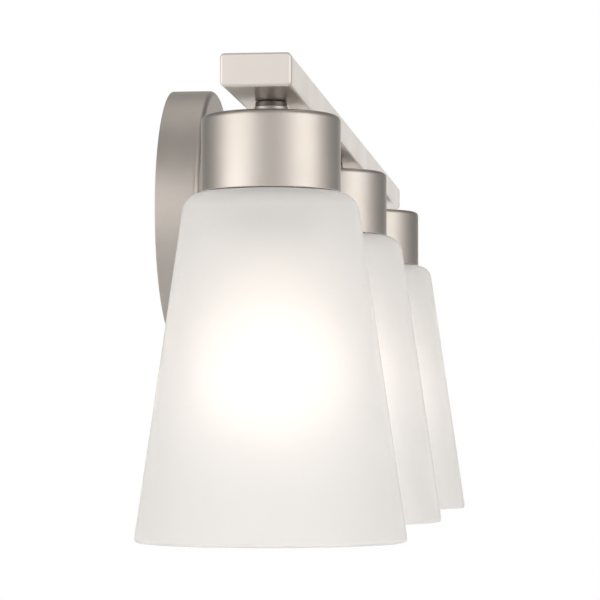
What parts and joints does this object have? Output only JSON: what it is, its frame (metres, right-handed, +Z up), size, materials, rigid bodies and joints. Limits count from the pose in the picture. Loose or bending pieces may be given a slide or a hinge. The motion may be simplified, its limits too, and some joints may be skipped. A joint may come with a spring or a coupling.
{
  "type": "vanity light bar",
  "caption": "Rectangular wall light bar on a round canopy, with hanging socket cups and flared etched-glass shades open at the bottom.",
  "frame": {"origin": "on the wall plane, at the canopy's centre", "axes": "+X along the bar towards its right end as seen from the room, +Y into the wall, +Z up"},
  "size_m": [0.6228, 0.1424, 0.23],
  "materials": {
    "satin_nickel": "satin brushed nickel plate",
    "zinc_steel": "bright zinc-plated steel",
    "green_screw": "green painted steel",
    "etched_glass": "white glass, acid-etched to a soft matt",
    "lamp_glass": "frosted lamp glass, lit warm white",
    "black_phenolic": "moulded black phenolic",
    "socket_brass": "bright brass",
    "lamp_cap_metal": "nickel-plated aluminium screw cap",
    "bare_copper": "bare copper",
    "black_insulation": "black lead insulation",
    "white_insulation": "white lead insulation",
    "orange_plastic": "moulded splice cap",
    "green_plastic": "moulded splice cap"
  },
  "bodies": {
    "fixture": {"mounting_strap": "zinc_steel", "box_screw_left": "zinc_steel", "box_screw_right": "zinc_steel", "ground_screw": "green_screw", "canopy": "satin_nickel", "stud_left": "zinc_steel", "stud_right": "zinc_steel", "arm_tube": "satin_nickel", "arm_nipple": "zinc_steel", "arm_nut": "zinc_steel", "arm_backing_plate": "zinc_steel", "bar_tube": "satin_nickel", "bar_end_left": "satin_nickel", "bar_end_right": "satin_nickel", "wire_hot": "black_insulation", "wire_neutral": "white_insulation", "wire_ground": "bare_copper", "splice_cap_hot": "orange_plastic", "splice_cap_neutral": "orange_plastic", "splice_cap_ground": "green_plastic", "neck_collar_1": "satin_nickel", "socket_nipple_1": "zinc_steel", "nipple_nut_1": "zinc_steel", "socket_cup_1": "satin_nickel", "socket_body_1": "black_phenolic", "socket_screw_shell_1": "socket_brass", "socket_contact_1": "socket_brass", "neck_collar_2": "satin_nickel", "socket_nipple_2": "zinc_steel", "nipple_nut_2": "zinc_steel", "socket_cup_2": "satin_nickel", "socket_body_2": "black_phenolic", "socket_screw_shell_2": "socket_brass", "socket_contact_2": "socket_brass", "neck_collar_3": "satin_nickel", "socket_nipple_3": "zinc_steel", "nipple_nut_3": "zinc_steel", "socket_cup_3": "satin_nickel", "socket_body_3": "black_phenolic", "socket_screw_shell_3": "socket_brass", "socket_contact_3": "socket_brass"},
    "lamp_tip_1": {"bulb_tip_1": "socket_brass"},
    "lamp_1": {"bulb_envelope_1": "lamp_glass", "bulb_cap_1": "lamp_cap_metal"},
    "shade_1": {"shade_glass_1": "etched_glass"},
    "ring_1": {"shade_ring_1": "black_phenolic"},
    "lamp_tip_2": {"bulb_tip_2": "socket_brass"},
    "lamp_2": {"bulb_envelope_2": "lamp_glass", "bulb_cap_2": "lamp_cap_metal"},
    "shade_2": {"shade_glass_2": "etched_glass"},
    "ring_2": {"shade_ring_2": "black_phenolic"},
    "lamp_tip_3": {"bulb_tip_3": "socket_brass"},
    "lamp_3": {"bulb_envelope_3": "lamp_glass", "bulb_cap_3": "lamp_cap_metal"},
    "shade_3": {"shade_glass_3": "etched_glass"},
    "ring_3": {"shade_ring_3": "black_phenolic"},
    "washer_left": {"nut_washer_left": "satin_nickel"},
    "nut_left": {"cap_nut_left": "satin_nickel"},
    "washer_right": {"nut_washer_right": "satin_nickel"},
    "nut_right": {"cap_nut_right": "satin_nickel"}
  },
  "joints": [
    {"name": "lamp_drop_1", "type": "slide", "parent": "fixture", "child": "lamp_tip_1", "axis": [0, 0, -1], "range_m": [0, 0.02178]},
    {"name": "lamp_turn_1", "type": "hinge", "parent": "lamp_tip_1", "child": "lamp_1", "pos_m": [-0.252, -0.083, -0.05], "axis": [0, 0, -1], "range_deg": [0, 2161]},
    {"name": "shade_drop_1", "type": "slide", "parent": "fixture", "child": "shade_1", "axis": [0, 0, -1], "range_m": [0, 0.015]},
    {"name": "ring_turn_1", "type": "hinge", "parent": "shade_1", "child": "ring_1", "pos_m": [-0.252, -0.083, -0.02], "axis": [0, 0, -1], "range_deg": [0, 2161]},
    {"name": "lamp_drop_2", "type": "slide", "parent": "fixture", "child": "lamp_tip_2", "axis": [0, 0, -1], "range_m": [0, 0.02178]},
    {"name": "lamp_turn_2", "type": "hinge", "parent": "lamp_tip_2", "child": "lamp_2", "pos_m": [0, -0.083, -0.05], "axis": [0, 0, -1], "range_deg": [0, 2161]},
    {"name": "shade_drop_2", "type": "slide", "parent": "fixture", "child": "shade_2", "axis": [0, 0, -1], "range_m": [0, 0.015]},
    {"name": "ring_turn_2", "type": "hinge", "parent": "shade_2", "child": "ring_2", "pos_m": [0, -0.083, -0.02], "axis": [0, 0, -1], "range_deg": [0, 2161]},
    {"name": "lamp_drop_3", "type": "slide", "parent": "fixture", "child": "lamp_tip_3", "axis": [0, 0, -1], "range_m": [0, 0.02178]},
    {"name": "lamp_turn_3", "type": "hinge", "parent": "lamp_tip_3", "child": "lamp_3", "pos_m": [0.252, -0.083, -0.05], "axis": [0, 0, -1], "range_deg": [0, 2161]},
    {"name": "shade_drop_3", "type": "slide", "parent": "fixture", "child": "shade_3", "axis": [0, 0, -1], "range_m": [0, 0.015]},
    {"name": "ring_turn_3", "type": "hinge", "parent": "shade_3", "child": "ring_3", "pos_m": [0.252, -0.083, -0.02], "axis": [0, 0, -1], "range_deg": [0, 2161]},
    {"name": "nut_back_left", "type": "slide", "parent": "fixture", "child": "washer_left", "axis": [0, -1, 0], "range_m": [0, 0.00476]},
    {"name": "nut_turn_left", "type": "hinge", "parent": "washer_left", "child": "nut_left", "pos_m": [-0.04445, -0.03, 0], "axis": [0, -1, 0], "range_deg": [0, 2161]},
    {"name": "nut_back_right", "type": "slide", "parent": "fixture", "child": "washer_right", "axis": [0, -1, 0], "range_m": [0, 0.00476]},
    {"name": "nut_turn_right", "type": "hinge", "parent": "washer_right", "child": "nut_right", "pos_m": [0.04445, -0.03, 0], "axis": [0, -1, 0], "range_deg": [0, 2161]}
  ],
  "couplings": [
    {"joint": "lamp_turn_1", "follows": "lamp_drop_1", "rad_per_m": 1730.9},
    {"joint": "ring_turn_1", "follows": "shade_drop_1", "rad_per_m": 2513.3},
    {"joint": "lamp_turn_2", "follows": "lamp_drop_2", "rad_per_m": 1730.9},
    {"joint": "ring_turn_2", "follows": "shade_drop_2", "rad_per_m": 2513.3},
    {"joint": "lamp_turn_3", "follows": "lamp_drop_3", "rad_per_m": 1730.9},
    {"joint": "ring_turn_3", "follows": "shade_drop_3", "rad_per_m": 2513.3},
    {"joint": "nut_turn_left", "follows": "nut_back_left", "rad_per_m": 7915.8},
    {"joint": "nut_turn_right", "follows": "nut_back_right", "rad_per_m": 7915.8}
  ]
}
